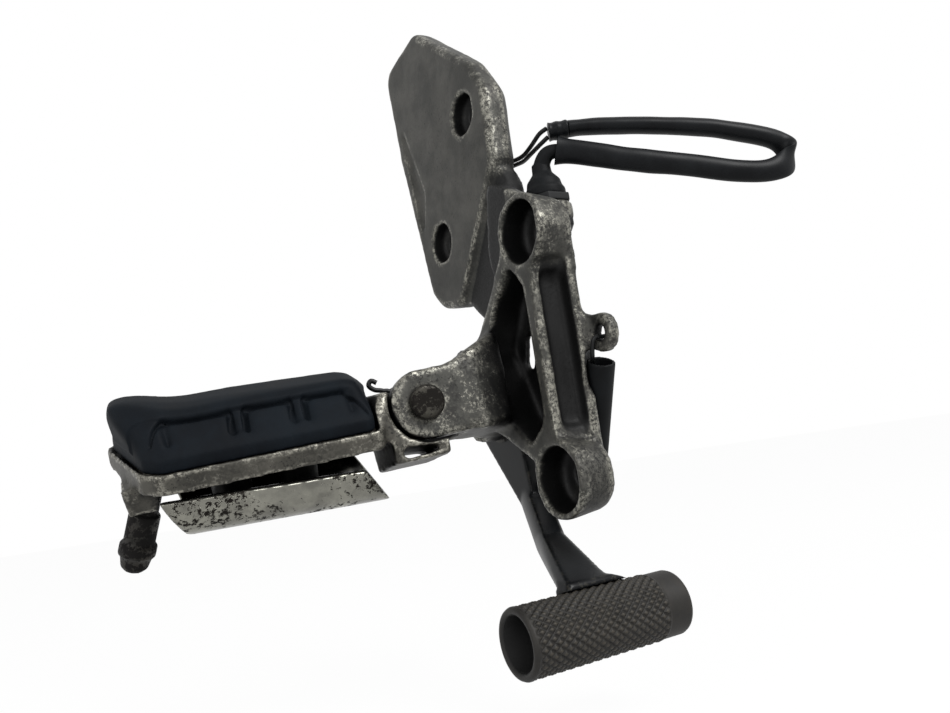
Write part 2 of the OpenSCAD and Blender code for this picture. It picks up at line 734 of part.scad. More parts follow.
module pedal_bush() {
    color([0.6, 0.48, 0.28])
    difference() {
        bar_x(hub_face - hub_w, hub_face, [pivot_y, pivot_z], pivot_r + bush_t);
        bar_x(hub_face - hub_w - 1, hub_face + 1, [pivot_y, pivot_z], pivot_r + pivot_clear);
    }
}
module pivot_bolt() {
    head_x = hub_face - hub_w - 0.5;
    shoulder_end = -casting_depth - 1;
    color([0.4, 0.39, 0.36]) {
        bar_x(head_x, shoulder_end, [pivot_y, pivot_z], pivot_r);
        bar_x(shoulder_end, -6.6, [pivot_y, pivot_z], pivot_r - 2);
        translate([head_x - 5, pivot_y, pivot_z])
            rotate([0, 90, 0])
                difference() {
                    cylinder(h = 5, r = pivot_r + 4);
                    translate([0, 0, -1])
                        cylinder(h = 4.5, r = 4.6, $fn = 6);
                }
    }
}
module pivot_washer() {
    color([0.5, 0.5, 0.48])
    difference() {
        bar_x(hub_face + 0.05, -casting_depth - 1, [pivot_y, pivot_z], pivot_r + 4);
        bar_x(hub_face - 1, -casting_depth, [pivot_y, pivot_z], pivot_r + 0.1);
    }
}

// Return spring of the pedal, in its rubber sleeve

lug_mid = [-ridge_depth - lug_t / 2, lug_at[0], lug_at[1]];
hook_mid = [arm_face - arm_t - hook_t / 2, hook_at[0], hook_at[1]];
sleeve_r = return_coil_r + return_wire / 2 + 1.2;
spring_span = norm(hook_mid - lug_mid);
coil_start = 13;
coil_end = spring_span - 11;
module return_spring() {
    n = 10;
    top = [[0, -3.4, 0.2], [0, -2, 1.1], [0, 0, 1.3], [0, 2.1, 1.2], [0, 3.2, 2.4],
        [0, 3.3, 5], [0, 3.1, 7.4], [-1.4, 2, 10.4]];
    body = [for (i = [0 : return_turns * n]) let (a = 180 + 360 * i / n)
        [return_coil_r * cos(a), return_coil_r * sin(a),
            coil_start + (coil_end - coil_start) * i / (return_turns * n)]];
    bottom = [[1.6, 1.8, coil_end + 2.6], [0.6, 2.8, coil_end + 5.4], [0, 2.9, spring_span - 3],
        [0, 1.9, spring_span - 1.7], [0, 0, spring_span - 1.4], [0, -1.8, spring_span - 1.2],
        [0, -3, spring_span]];
    color([0.09, 0.09, 0.09])
    along(lug_mid, hook_mid)
        swept(concat(top, body, bottom), return_wire / 2, return_wire / 2, [0.02, 1, 0.01], 6);
}
module spring_sleeve() {
    color([0.06, 0.06, 0.06])
    along(lug_mid, hook_mid)
        translate([0, 0, coil_start - 3.5])
            difference() {
                cylinder(h = coil_end - coil_start + 6, r = sleeve_r);
                translate([0, 0, -1])
                    cylinder(h = coil_end, r = return_coil_r + return_wire / 2 + 0.2);
            }
}

// Brake light switch

boot_z = switch_lug_z + switch_lug_t + nut_t;
switch_top = boot_z + 4;
switch_bottom = switch_top - switch_len;
module at_switch(z) {
    translate([switch_at[0], switch_at[1], z])
        children();
}
module switch_body() {
    color([0.08, 0.08, 0.08])
    at_switch(switch_bottom)
        difference() {
            union() {
                cylinder(h = switch_len, r = switch_r);
                cylinder(h = 3, r = switch_r + 0.8);
            }
            translate([0, 0, -1])
                cylinder(h = 14, r = 2.1);
        }
}
module switch_nut() {
    color([0.1, 0.1, 0.1])
    for (z = [switch_lug_z - nut_t, switch_lug_z + switch_lug_t])
        at_switch(z)
            difference() {
                cylinder(h = nut_t, r = switch_r + 3, $fn = 6);
                translate([0, 0, -1])
                    cylinder(h = 6, r = switch_r + 0.1);
            }
}
module switch_boot() {
    color([0.07, 0.07, 0.07])
    at_switch(boot_z)
        difference() {
            rotate_extrude()
                polygon([[0, 0], [switch_r + 1.5, 0], [switch_r + 1.5, 2.6], [switch_r + 0.7, 3.8],
                    [switch_r + 0.3, 6], [3.4, 9], [3.2, 12.5], [0, 12.5]]);
            translate([0, 0, -1])
                cylinder(h = 1.1 + switch_top - boot_z, r = switch_r + 0.1);
        }
}
module switch_plunger() {
    color([0.5, 0.49, 0.46])
    at_switch(switch_bottom - 8)
        difference() {
            cylinder(h = 16, r = 2);
            translate([0, 0, 2.4])
                rotate([90, 0, 0])
                    cylinder(h = 8, r = 0.8, center = true);
        }
}
module switch_spring() {
    a = [switch_at[0], switch_at[1], switch_bottom - 5.6];
    b = [arm_face - arm_t - 1, -30, -40];
    span = norm(b - a);
    n = 8;
    turns = 12;
    start = span - 30;
    stop = span - 8;
    body = [for (i = [0 : turns * n]) let (t = 360 * i / n)
        [switch_spring_r * cos(t), switch_spring_r * sin(t), start + (stop - start) * i / (turns * n)]];
    color([0.45, 0.45, 0.43])
    along(a, b)
        swept(concat([[0, 0, 2.6], [0, 0, start - 5], [1.4, -0.6, start - 2]], body, [[1.8, 1.2, stop + 2], [0.6, 0.6, stop + 4.6], [0, 0, span - 1.8]]),
            switch_wire / 2, switch_wire / 2, [0.02, 1, 0.01], 6);
}

// Lead of the switch in its vinyl sleeve

sleeve_path = [[switch_at[0], switch_at[1], 68.3], [switch_at[0], switch_at[1], 69.4], [-21.4, -7.6, 71], [-24.5, -4.6, 70.5], [-33, 1, 67.5],
    [-45, 8.2, 63], [-59.5, 15.9, 59], [-75.7, 24.3, 54], [-84.5, 29.1, 52.4], [-90.5, 32.4, 53.6],
    [-94.5, 32.6, 57.5], [-94, 30.4, 62.5], [-88.5, 27.6, 66], [-75, 21.1, 70.7],
    [-60.3, 13.3, 74.2], [-45.9, 5.5, 76.7], [-36.8, 0.6, 77.9], [-30, -3.2, 78.2]];
module lead_sleeve() {
    color([0.07, 0.07, 0.07])
    swept(smooth(sleeve_path, 3), [2.9, 4.2], [4.3, 2.8], [0, 0.2, 1], 12);
}
module lead_tape() {
    color([0.05, 0.05, 0.05])
    swept([[-29.8, -3.3, 78.2], [-27, -5, 78.2], [-24.3, -6.6, 78.1]], 4.4, 3.2, [0, 0.2, 1], 12);
}
module lead_wires() {
    color([0.06, 0.06, 0.06])
    for (s = [-1, 1])
        swept(smooth([[-23.8, -6.9, 78 + 1.6 * s], [-22.6, -10, 77 + 1.8 * s],
            [-22.4, -16, 75.6 + 1.2 * s], [-24, -24, 76 + s], [-25.6, -34, 78.4 + s],
            [-26, -43.8, 80 + 2 * s]], 3), 0.8, 0.8, [1, 0, 0], 8);
}
module lead_plug() {
    color([0.75, 0.74, 0.7])
    translate([guard_back - 8, -62, 75])
        difference() {
            cube([8, 18, 10]);
            translate([1.5, -1, 1.5])
                cube([5, 10, 7]);
        }
}

bracket_casting();
hinge_pin();
pin_washer();
pin_clip();
peg_spring();
peg_bar();
pad_plate();
rubber_pad();
pad_screws();
weight_plate();
weight_screws();
feeler_bolt();
brake_pedal();
toe_tube();
pedal_bush();
pivot_bolt();
pivot_washer();
return_spring();
spring_sleeve();
switch_body();
switch_nut();
switch_boot();
switch_plunger();
switch_spring();
lead_sleeve();
lead_tape();
lead_wires();
lead_plug();
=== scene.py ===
import bpy, bmesh, json
import numpy as np
from mathutils import Matrix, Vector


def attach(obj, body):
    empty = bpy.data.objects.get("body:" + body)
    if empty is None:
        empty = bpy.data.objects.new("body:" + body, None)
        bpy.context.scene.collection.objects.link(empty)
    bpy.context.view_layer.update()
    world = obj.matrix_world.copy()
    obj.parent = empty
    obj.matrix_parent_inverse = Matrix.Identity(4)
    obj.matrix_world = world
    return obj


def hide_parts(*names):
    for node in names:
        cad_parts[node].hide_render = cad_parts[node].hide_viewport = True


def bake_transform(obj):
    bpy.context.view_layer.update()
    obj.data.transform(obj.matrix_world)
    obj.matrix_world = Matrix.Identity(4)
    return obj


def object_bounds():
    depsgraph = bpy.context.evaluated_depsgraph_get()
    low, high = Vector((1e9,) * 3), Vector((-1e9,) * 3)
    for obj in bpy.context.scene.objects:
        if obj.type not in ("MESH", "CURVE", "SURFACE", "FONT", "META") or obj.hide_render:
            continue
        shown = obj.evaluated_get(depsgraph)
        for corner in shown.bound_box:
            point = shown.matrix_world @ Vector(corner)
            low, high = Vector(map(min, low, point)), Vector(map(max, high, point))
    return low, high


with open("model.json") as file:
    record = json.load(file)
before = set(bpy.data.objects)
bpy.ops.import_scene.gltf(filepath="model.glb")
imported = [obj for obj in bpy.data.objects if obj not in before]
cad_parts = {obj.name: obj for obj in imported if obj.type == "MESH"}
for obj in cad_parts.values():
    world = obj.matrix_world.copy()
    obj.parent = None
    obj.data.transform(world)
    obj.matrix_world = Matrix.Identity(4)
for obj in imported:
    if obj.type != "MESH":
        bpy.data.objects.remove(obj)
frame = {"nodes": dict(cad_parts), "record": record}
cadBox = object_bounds()
mm = 0.001
print("frame loaded")


def unit(vector):
    return vector / np.linalg.norm(vector)


def linked(name, data):
    # a new object in the scene
    obj = bpy.data.objects.new(name, data)
    bpy.context.collection.objects.link(obj)
    return obj


def placed(obj, right, up, back, place):
    # the object's own axes, and its place in metres
    turn = np.eye(4)
    turn[:3, 0], turn[:3, 1], turn[:3, 2], turn[:3, 3] = right, up, back, place
    obj.matrix_world = Matrix(turn.tolist())


# camera: its place in mm, focal length and picture width in pixels, sensor width in mm
camera = dict(place=(134.4, 197.8, -34.0), right=(-0.87, 0.47, -0.147), up=(-0.057, 0.201, 0.978),
              focal=780.0, pictureWidth=950.0, sensor=36.0)


def makeCamera():
    right = unit(np.array(camera["right"]))
    up = np.array(camera["up"])
    up = unit(up - right * (up @ right))
    lens = bpy.data.cameras.new("camera")
    lens.sensor_width = camera["sensor"]
    lens.lens = camera["focal"] * camera["sensor"] / camera["pictureWidth"]
    lens.clip_start = 0.01
    obj = linked("camera", lens)
    placed(obj, right, up, np.cross(right, up), np.array(camera["place"]) * mm)
    bpy.context.scene.camera = obj


makeCamera()

# frames of the hinge and of the tray, as the bracket and the peg carry them
hingeAt = np.array([29.2, -31.1, -11.0])


def turned(roll, droop, sweep):
    r, d, s = np.radians([roll, droop, sweep])
    rx = np.array([[1, 0, 0], [0, np.cos(r), -np.sin(r)], [0, np.sin(r), np.cos(r)]])
    ry = np.array([[np.cos(d), 0, np.sin(d)], [0, 1, 0], [-np.sin(d), 0, np.cos(d)]])
    rz = np.array([[np.cos(s), -np.sin(s), 0], [np.sin(s), np.cos(s), 0], [0, 0, 1]])
    return rz @ ry @ rx


hingeTurn = turned(3, 4.6, -9)
trayTurn = turned(-22, 4.6, -9)


# mesh helpers
def smoothStep(low, high, value):
    t = np.clip((value - low) / (high - low), 0, 1)
    return t * t * (3 - 2 * t)


def band(value, rise, fall):
    # 1 between the two pairs of limits, 0 outside them
    return smoothStep(*rise, value) * (1 - smoothStep(*fall, value))


def voxelCopy(node, voxel):
    # an even net of small squares over a CAD node, from Blender's voxel remesh
    joined = bpy.data.meshes.new("joined")
    work = bmesh.new()
    work.from_mesh(frame["nodes"][node].data)
    bmesh.ops.remove_doubles(work, verts=work.verts, dist=1e-6)
    work.to_mesh(joined)
    work.free()
    shell = linked("shell", joined)
    step = shell.modifiers.new("voxels", "REMESH")
    step.mode, step.voxel_size, step.adaptivity = "VOXEL", voxel * mm, 0
    dense = bpy.data.meshes.new_from_object(shell.evaluated_get(bpy.context.evaluated_depsgraph_get()))
    bpy.data.objects.remove(shell)
    points = np.empty(3 * len(dense.vertices))
    dense.vertices.foreach_get("co", points)
    corners = np.empty(len(dense.loops), dtype=np.int64)
    dense.loops.foreach_get("vertex_index", corners)
    bpy.data.meshes.remove(dense)
    return points.reshape(-1, 3) / mm, corners.reshape(-1, 4)


def edgesOf(faces):
    pairs = np.concatenate([faces[:, [k, (k + 1) % 4]] for k in range(4)])
    return np.unique(np.sort(pairs, 1), axis=0)


def relaxed(points, edges, passes):
    # each point moves half of the way to the mean of its neighbours, a number of times
    a, b = edges.T
    size = len(points)
    count = np.bincount(np.concatenate([a, b]), minlength=size)[:, None]
    for _ in range(passes):
        total = np.stack([np.bincount(a, points[b, k], size) + np.bincount(b, points[a, k], size)
                          for k in range(3)], 1)
        points = points + 0.5 * (total / np.maximum(count, 1) - points)
    return points


def normalsOf(points, faces):
    # area-weighted mean of the faces round each point, from the cross product of their diagonals
    p = points[faces]
    cross = np.cross(p[:, 2] - p[:, 0], p[:, 3] - p[:, 1])
    total = np.stack([sum(np.bincount(faces[:, c], cross[:, k], len(points)) for c in range(4))
                      for k in range(3)], 1)
    return total / np.maximum(np.linalg.norm(total, axis=1, keepdims=True), 1e-12)


def waves(points, size, seed, layers=3):
    # smooth random relief: a sum of sine waves in random directions, about size mm apart, each
    # further layer 1.9 times as fine and 1.7 times as flat
    rng = np.random.default_rng(seed)
    total = np.zeros(len(points))
    fullTurn = 6.283
    for layer in range(layers):
        for _ in range(6):
            way = unit(rng.normal(size=3))
            start = rng.uniform(0, fullTurn)
            total += np.sin(points @ way * fullTurn * 1.9 ** layer / size + start) / 1.7 ** layer
    return total / 6


pieces = {}  # name: points in mm, faces, body, slot, the nodes it stands for, attributes


def keep(name, points, faces, body, slot, replaces=(), **attributes):
    pieces[name] = dict(points=points, faces=faces, body=body, slot=slot, replaces=replaces,
                        attributes=attributes)


def rounded(name, node, voxel, passes, body, slot, shape=None, shadeAndStain=None):
    # a node with its edges and inner corners rounded, as casting, forging or moulding leaves them
    points, faces = voxelCopy(node, voxel)
    edges = edgesOf(faces)
    points = relaxed(points, edges, passes)
    if shape:
        points = shape(points, faces)
    normals = normalsOf(points, faces)
    # how far a point stands out of its smoothed surroundings: 1 on a sharp edge, -1 in a sharp corner
    sharpest = 0.16 * voxel
    edge = np.einsum("ij,ij->i", points - relaxed(points, edges, 5), normals) / sharpest
    # the optional mark darkens the skin: painted shade together with oil
    keep(name, points, faces, body, slot, [node], edge=np.clip(edge, -1, 1), front=normals[:, 1],
         oil=shadeAndStain(points) if shadeAndStain else np.zeros(len(points)))


def outward(points, faces):
    # the same faces, turned over if the mesh is inside out; a fan's doubled last corner stays last
    p = points[faces]
    volume = (np.einsum("ij,ij->i", p[:, 0], np.cross(p[:, 1], p[:, 2])).sum()
              + np.einsum("ij,ij->i", p[:, 0], np.cross(p[:, 2], p[:, 3])).sum())
    return faces if volume > 0 else faces[:, [1, 0, 3, 2]]


def gridMesh(grid, around=False):
    # a grid of points, closed round its second side, as quads, with fans on its two ends or, with
    # around, joined end to end
    rows, cols = grid.shape[:2]
    i, k = np.meshgrid(np.arange(rows if around else rows - 1), np.arange(cols), indexing="ij")
    n = (k + 1) % cols
    j = (i + 1) % rows
    faces = np.stack([i * cols + k, j * cols + k, j * cols + n, i * cols + n], -1).reshape(-1, 4)
    points = grid.reshape(-1, 3)
    if not around:
        points = np.vstack([points, grid[0].mean(0), grid[-1].mean(0)])
        c = np.arange(cols)
        lastRow = (rows - 1) * cols
        middle = np.full((cols, 2), rows * cols)  # doubled, so that a triangle has four corners too
        first = np.column_stack([c, (c + 1) % cols, middle])
        last = np.column_stack([lastRow + (c + 1) % cols, lastRow + c, middle + 1])
        faces = np.vstack([faces, first, last])
    return points, outward(points, faces)


def rings(path, along, side, width, height, sides):
    # a ring of an oval section at each point of the path, square to the way along it
    t = along / np.linalg.norm(along, axis=1, keepdims=True)
    u = np.cross(t, side)
    u /= np.linalg.norm(u, axis=1, keepdims=True)
    v = np.cross(t, u)
    a = np.arange(sides) * 2 * np.pi / sides
    return (path[:, None] + u[:, None] * (width * np.cos(a))[..., None]
            + v[:, None] * (height * np.sin(a))[..., None])


def swept(path, width, height, side, sides):
    # a closed rod round the path; width and height are its half sizes, one for all or one a point
    width, height = [np.broadcast_to(w, (len(path), sides)) for w in (width, height)]
    return gridMesh(rings(path, np.gradient(path, axis=0), side, width, height, sides))


def splined(route, steps):
    # a smooth curve through the route's points, steps points to each stretch
    r = np.array(route, float)
    a, b, c, d = r[np.r_[0, 0:len(r) - 2]], r[:-1], r[1:], r[np.r_[2:len(r), len(r) - 1]]
    t = (np.arange(steps) / steps)[None, :, None]
    a, b, c, d = a[:, None], b[:, None], c[:, None], d[:, None]
    curve = b + (c - a) * t / 2 + (2 * a - 5 * b + 4 * c - d) * t ** 2 / 2 + (3 * b - a - 3 * c + d) * t ** 3 / 2
    return np.vstack([curve.reshape(-1, 3), r[-1:]])


# cast and forged pieces
print("rounding the cast pieces")
bracket = dict(voxel=1.0, passes=5, waviness=0.12, lumps=22, inset=0.12)
pegCast = dict(voxel=0.72, passes=5, waviness=0.08, lumps=22, inset=0.12)
# limits in mm of the dark mark of painted shade and oil on the bracket
oil = dict(memberFront=(-1.5, 1.5), memberMiddle=1, memberReach=(22, 30), memberRise=(-13, -11),
           memberFall=(-4.6, -2.6), guardY=-58, guardZ=29.5, guardSlope=0.84, neckFrom=(0.5, 3),
           neckRise=(16, 26), neckFall=(62, 72), neckFront=(-14, -12), neckOut=(-6, -3))


def castSurface(spec, seed):
    # the slight waviness that a sand-cast skin and years of wear leave
    def shape(points, faces):
        relief = waves(points, spec["lumps"], seed) * spec["waviness"] - spec["inset"]
        return points + normalsOf(points, faces) * relief[:, None]
    return shape


def oilStain(points):
    # painted shade, with old chain oil, on the front of the member between its bosses, and in the neck below the
    # heel guard where the guard and the boss shade it
    x, y, z = points.T
    s = oil
    member = smoothStep(*s["memberFront"], y) * band(x, s["memberRise"], s["memberFall"])
    member *= 1 - smoothStep(*s["memberReach"], np.abs(z - s["memberMiddle"]))
    beside = y - s["guardY"] - (z - s["guardZ"]) * s["guardSlope"]  # from the guard's slanted lower edge
    neck = smoothStep(*s["neckFrom"], beside) * band(z, s["neckRise"], s["neckFall"])
    neck *= (1 - smoothStep(*s["neckFront"], y)) * (1 - smoothStep(*s["neckOut"], x))
    return np.maximum(member, neck)


rounded("bracket_skin", "bracket_casting", bracket["voxel"], bracket["passes"], "bracket", "cast_alloy",
        castSurface(bracket, 3), oilStain)
rounded("peg_skin", "peg_bar", pegCast["voxel"], pegCast["passes"], "peg", "peg_alloy",
        castSurface(pegCast, 5))

# rubber pad: mm along the tray, across it and up from it
pad = dict(voxel=0.4, passes=2, softening=50, seatTop=4.2, seatFade=3,
           noseAt=82.0, noseSize=8, noseUp=2.0, noseOut=1.4, noseRise=(8, 13),
           dipBack=14, dipDepth=0.35, dipRise=(10, 13.5),
           panels=[(24.5, 35.6), (40.0, 52.6), (57.0, 74.0)], crownEdge=8.2, ribFoot=13.2,
           outerEnd=(78.5, 13.0), innerEnd=(18.8, 15.2), grooveDepth=1.3, grooveWidth=0.45,
           barDepth=0.8, barBlur=0.3, barFade=2, crownProud=0.5, crownFrom=(20, 24), pressFrom=(5.5, 7))


def padSurface(points, faces):
    # the hull of the pad is softened above its seat, its outer end swells into a nose, then grooves are
    # pressed in: each is a valley whose depth falls off with the squared distance to a line on the flank
    s = pad
    local = (points - hingeAt) @ trayTurn
    free = smoothStep(s["seatTop"], s["seatTop"] + s["seatFade"], local[:, 2])[:, None]
    soft = relaxed(points, edgesOf(faces), s["softening"])
    points = points + free * (soft - points)
    local = (points - hingeAt) @ trayTurn
    out, up = trayTurn[:, 0], trayTurn[:, 2]
    fromNose = local[:, 0] - s["noseAt"]
    nose = np.exp(-(fromNose / s["noseSize"]) ** 2) * smoothStep(*s["noseRise"], local[:, 2])
    dip = np.exp(-((fromNose + s["dipBack"]) / s["noseSize"]) ** 2) * smoothStep(*s["dipRise"], local[:, 2])
    points = points + (s["noseUp"] * nose - s["dipDepth"] * dip)[:, None] * up
    points = points + s["noseOut"] * nose[:, None] * out
    normals = normalsOf(points, faces)
    edge, panels = s["crownEdge"], s["panels"]
    bars = [(panels[k][1], panels[k + 1][0]) for k in (0, 1)]  # the upright bars between the panels
    lines = [((a, edge), (b, edge)) for a, b in panels]
    lines += [((x, edge), (x + 0.4, s["ribFoot"])) for bar in bars for x in bar]
    lines += [((panels[-1][1], edge), s["outerEnd"]), ((panels[0][0], edge), s["innerEnd"])]
    along, across = local[:, 0], np.abs(local[:, 1])
    spot = np.stack([along, across], 1)
    near = np.full(len(points), 99.0)
    for a, b in lines:
        a, b = np.array(a), np.array(b)
        t = np.clip((spot - a) @ (b - a) / ((b - a) @ (b - a)), 0, 1)
        near = np.minimum(near, np.linalg.norm(spot - a - t[:, None] * (b - a), axis=1))
    press = s["grooveDepth"] * np.exp(-(near / s["grooveWidth"]) ** 2)
    blur = s["barBlur"]
    for low, high in bars:
        press += (s["barDepth"] * band(along, (low - blur, low + blur), (high - blur, high + blur))
                  * band(across, (edge - blur, edge + blur), (s["ribFoot"], s["ribFoot"] + s["barFade"])))
    # the crown above the long crease stands a little proud of the flank's panels
    crown = 1 - smoothStep(edge - 0.6, edge + 0.1, across)
    press -= s["crownProud"] * crown * smoothStep(*s["crownFrom"], along)
    return points - normals * (press * smoothStep(*s["pressFrom"], local[:, 2]))[:, None]


rounded("pad_skin", "rubber_pad", pad["voxel"], pad["passes"], "peg", "pad_rubber", padSurface)

# the other solids: piece, CAD node, voxel in mm, passes, body, slot
softened = [
    ("weight_skin", "weight_plate", 0.62, 5, "peg", "bright_steel"),
    ("feeler_skin", "feeler_bolt", 0.35, 3, "peg", "rusted_steel"),
    ("pedal_skin", "brake_pedal", 0.62, 3, "pedal", "black_paint"),
    ("pin_skin", "hinge_pin", 0.35, 3, "bracket", "worn_steel"),
    ("washer_skin", "pin_washer", 0.3, 2, "bracket", "worn_steel"),
    ("clip_skin", "pin_clip", 0.25, 2, "bracket", "worn_steel"),
    ("bolt_skin", "pivot_bolt", 0.5, 2, "bracket", "worn_steel"),
    ("pad_screw_skin", "pad_screws", 0.3, 2, "peg", "worn_steel"),
    ("weight_screw_skin", "weight_screws", 0.4, 2, "peg", "worn_steel"),
    ("nut_skin", "switch_nut", 0.35, 2, "bracket", "switch_plastic"),
    ("switch_skin", "switch_body", 0.45, 2, "bracket", "switch_plastic"),
    ("boot_skin", "switch_boot", 0.4, 3, "bracket", "sleeve_rubber"),
    ("plug_skin", "lead_plug", 0.4, 2, "bracket", "switch_plastic"),
    ("pad_plate_skin", "pad_plate", 0.6, 2, "peg", "worn_steel"),
    ("pedal_bush_skin", "pedal_bush", 0.45, 2, "pedal", "brass_bush"),
    ("pivot_washer_skin", "pivot_washer", 0.3, 2, "bracket", "worn_steel"),
    ("plunger_skin", "switch_plunger", 0.25, 2, "plunger", "worn_steel"),
    ("coil_sleeve_skin", "spring_sleeve", 0.35, 3, "bracket", "sleeve_rubber"),
]
for row in softened:
    rounded(*row)

# toe tube
toeTube = dict(outer=9.75, bore=7.5, length=55.0, outEnd=28.0, at=(9.9, -79.8), starts=25, lead=3.1,
               depth=0.85, sharpness=1.8, knurlTo=-18.0, plainDrop=0.35, around=340, rowStep=0.235,
               wearSize=9)


def makeToeTube():
    # outer wall: radius less a groove whose depth follows two crossing families of helical grooves;
    # round the ends and back along the bore the same grid closes on itself
    s = toeTube
    outer, bore, outEnd, knurlTo = s["outer"], s["bore"], s["outEnd"], s["knurlTo"]
    around = s["around"]
    theta = np.arange(around) * 2 * np.pi / around
    inEnd = outEnd - s["length"]
    x = np.arange(outEnd - 1.0, inEnd + 1.0, -s["rowStep"])
    ends = smoothStep(outEnd - 0.9, outEnd - 2.2, x) * smoothStep(knurlTo, knurlTo + 0.8, x)
    u = theta[None] * s["starts"] / (2 * np.pi)
    v = x[:, None] / s["lead"]
    one, two = [np.abs(((w % 1) - 0.5) * 2) for w in (u + v, u - v)]  # 1 at a groove, 0 on a ridge
    groove = np.maximum(one, two) ** s["sharpness"]
    cell = np.stack([np.repeat(x, around), np.tile(10 * np.cos(theta), len(x)),
                     np.tile(10 * np.sin(theta), len(x))], 1)
    worn = 0.82 + 0.18 * waves(cell, s["wearSize"], 8).reshape(len(x), around)
    r = outer - s["depth"] * groove * ends[:, None] * worn
    r = r - s["plainDrop"] * (1 - smoothStep(knurlTo - 0.5, knurlTo + 0.5, x))[:, None]
    # the rest of the way round: place along the tube, radius, and how far inside the bore it counts as
    turns = np.array([
        (inEnd + 0.4, outer - 0.6, 0), (inEnd, outer - 1.1, 0), (inEnd, bore + 0.5, 0.3),
        (inEnd + 0.5, bore, 1), (inEnd + 12, bore, 1), (inEnd + 30, bore, 1), (outEnd - 0.7, bore, 1),
        (outEnd - 0.15, bore + 0.45, 0.5), (outEnd, bore + 0.9, 0), (outEnd, outer - 0.9, 0),
        (outEnd - 0.25, outer - 0.35, 0)])
    xs = np.concatenate([x, turns[:, 0]])
    rs = np.vstack([r, np.repeat(turns[:, 1:2], around, 1)])
    grid = np.stack([np.broadcast_to(xs[:, None], rs.shape), s["at"][0] + rs * np.cos(theta),
                     s["at"][1] + rs * np.sin(theta)], -1)
    points, faces = gridMesh(grid, around=True)
    ridge = np.vstack([(1 - groove) * ends[:, None], np.zeros((len(turns), around))]).reshape(-1)
    inside = np.concatenate([np.zeros(len(x)), turns[:, 2]])
    keep("toe_tube_knurled", points, faces, "pedal", "dark_steel", ["toe_tube"],
         ridge=ridge, inside=np.repeat(inside, around))


makeToeTube()
print("toe tube made")

# springs: wire and coil radius in mm, ends in mm
pegSpring = dict(wire=0.8, turns=2.5, radius=6.2, start=-6.3, pitch=1.85, sides=14)
returnSpring = dict(wire=0.7, turns=10.5, radius=2.6, top=(-18.0, 11.3, 3.1), bottom=(-23.3, -15.0, -44.0),
                    sides=12)
switchSpring = dict(wire=0.45, turns=12, radius=3.0, top=(-20.8, -9.7, 27.2), bottom=(-22.8, -30.0, -40.0),
                    sides=10)
bends = {}  # springs that span two bodies, kept in world space rather than parented: name, the bodies, and where the bend starts and ends in mm


def helix(radius, angle, low, high):
    # coil points from height low to height high
    climb = (angle - angle[0]) / (angle[-1] - angle[0])
    return np.stack([radius * np.cos(angle), radius * np.sin(angle), low + (high - low) * climb], 1)


def makePegSpring():
    # a coil round the hinge pin with a leg on the arm and a loop on the peg
    s = pegSpring
    a = np.radians(np.arange(110, 110 + 360 * s["turns"] + 1, 10))
    coil = helix(s["radius"], a, s["start"], s["start"] + s["pitch"] * s["turns"])[:, [0, 2, 1]]
    endY = coil[-1][1]
    first = splined([(-11.1, s["start"], 9.2), (-7, s["start"], 8.2), tuple(coil[0])], 6)[:-1]
    last = splined([tuple(coil[-1]), (5.4, endY, 6.6), (8.5, endY, 8.6), (11, endY, 9.4), (12.6, endY + 0.2, 11),
                    (11.6, endY + 0.4, 12.4), (10, endY + 0.6, 11.4)], 6)[1:]
    path = np.vstack([first, coil, last]) @ hingeTurn.T + hingeAt
    points, faces = swept(path, s["wire"], s["wire"], hingeTurn @ np.array([0.02, 1, 0.01]), s["sides"])
    keep("peg_spring_wire", points, faces, "bracket", "spring_steel", ["peg_spring"])
    bends["peg_spring_wire"] = ("bracket", "peg", hingeAt + hingeTurn @ [4.0, 0, 5.5],
                                hingeAt + hingeTurn @ [8.5, 0, 8.6])


def makeReturnSpring():
    # hook through the lug, close coils inside the sleeve, hook through the pedal's tab
    s = returnSpring
    a, b = np.array(s["top"]), np.array(s["bottom"])
    span = np.linalg.norm(b - a)
    z = (b - a) / span
    y = unit(np.cross(z, [0, 0, 1.0]))
    y = y if y[0] > 0 else -y
    x = np.cross(y, z)
    start, end = 13.0, span - 11.0
    q = np.pi + 2 * np.pi * s["turns"] * np.linspace(0, 1, int(s["turns"] * 24) + 1)
    coil = helix(s["radius"], q, start, end)
    top = splined([(0, -3.4, 0.2), (0, -2, 1.1), (0, 0, 1.3), (0, 2.1, 1.2), (0, 3.2, 2.4), (0, 3.3, 5),
                   (0, 3.1, 7.4), (-1.4, 2, 10.4), tuple(coil[0])], 6)[:-1]
    low = splined([tuple(coil[-1]), (1.6, 1.8, end + 2.6), (0.6, 2.8, end + 5.4), (0, 2.9, span - 3),
                   (0, 1.9, span - 1.7), (0, 0, span - 1.4), (0, -1.8, span - 1.2), (0, -3, span)], 6)[1:]
    path = np.vstack([top, coil, low]) @ np.stack([x, y, z]) + a
    points, faces = swept(path, s["wire"], s["wire"], x * 0.02 + y + z * 0.01, s["sides"])
    keep("return_spring_wire", points, faces, "bracket", "spring_steel", ["return_spring"])
    bends["return_spring_wire"] = ("bracket", "pedal", a + z * 14, b - z * 6)


